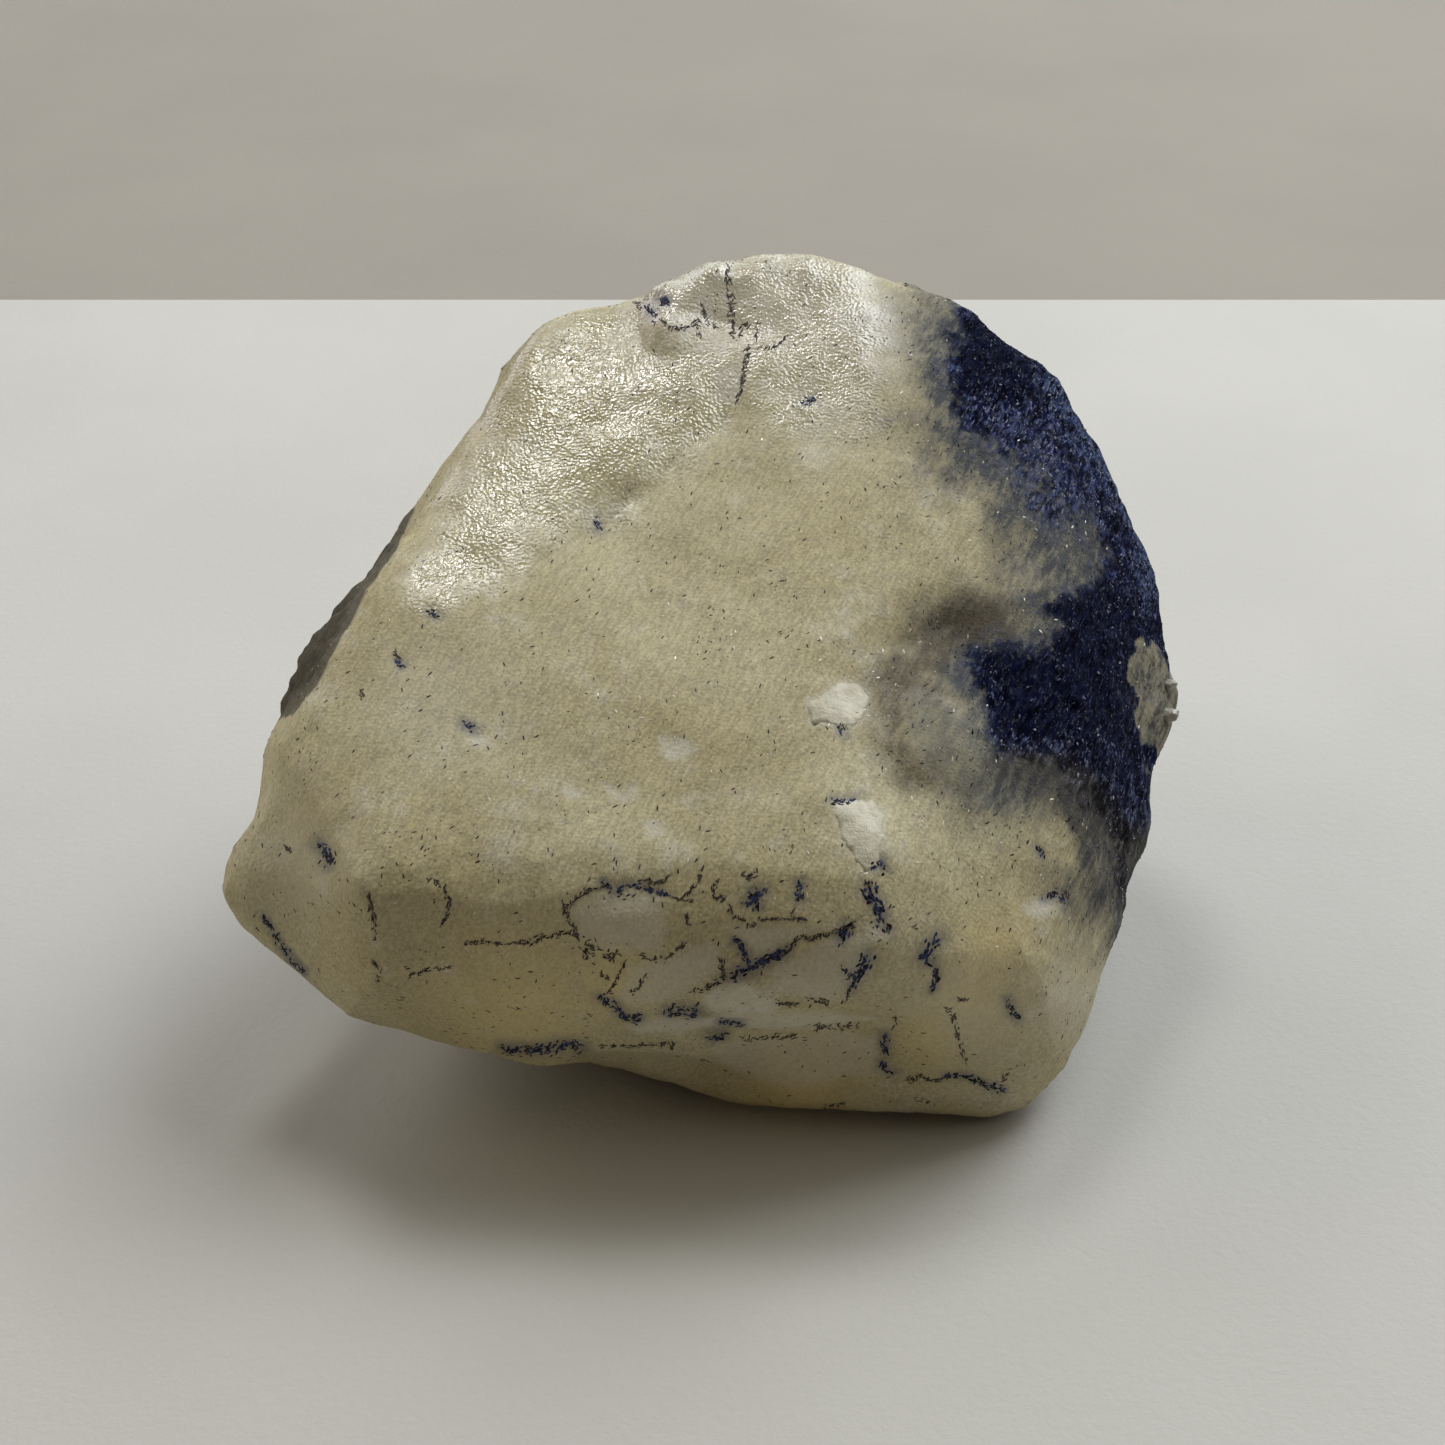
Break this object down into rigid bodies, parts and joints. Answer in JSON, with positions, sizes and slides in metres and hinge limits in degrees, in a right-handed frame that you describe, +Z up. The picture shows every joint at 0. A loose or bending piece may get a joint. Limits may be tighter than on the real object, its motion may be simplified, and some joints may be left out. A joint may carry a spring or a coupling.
{
  "type": "dumortierite specimen",
  "caption": "Broken hand specimen of pale milky quartzite with blue dumortierite along its back and side, lying on a flat underside.",
  "frame": {"origin": "middle of the bounding box, on the surface that the stone rests on", "axes": "+X along the longest side, towards the blue flank; -Y towards the low pale front; +Z up, away from the resting face"},
  "size_m": [0.0472, 0.0396, 0.0318],
  "materials": {
    "milky_quartzite": "sugary broken surface with a soft gloss, blue dumortierite at the back and right",
    "dumortierite": "dark blue grains, needles and vein fillings",
    "clear_quartz": "glassy translucent grains and knobs"
  },
  "bodies": {
    "root": {"dumortierite_stone": "milky_quartzite"}
  },
  "joints": []
}
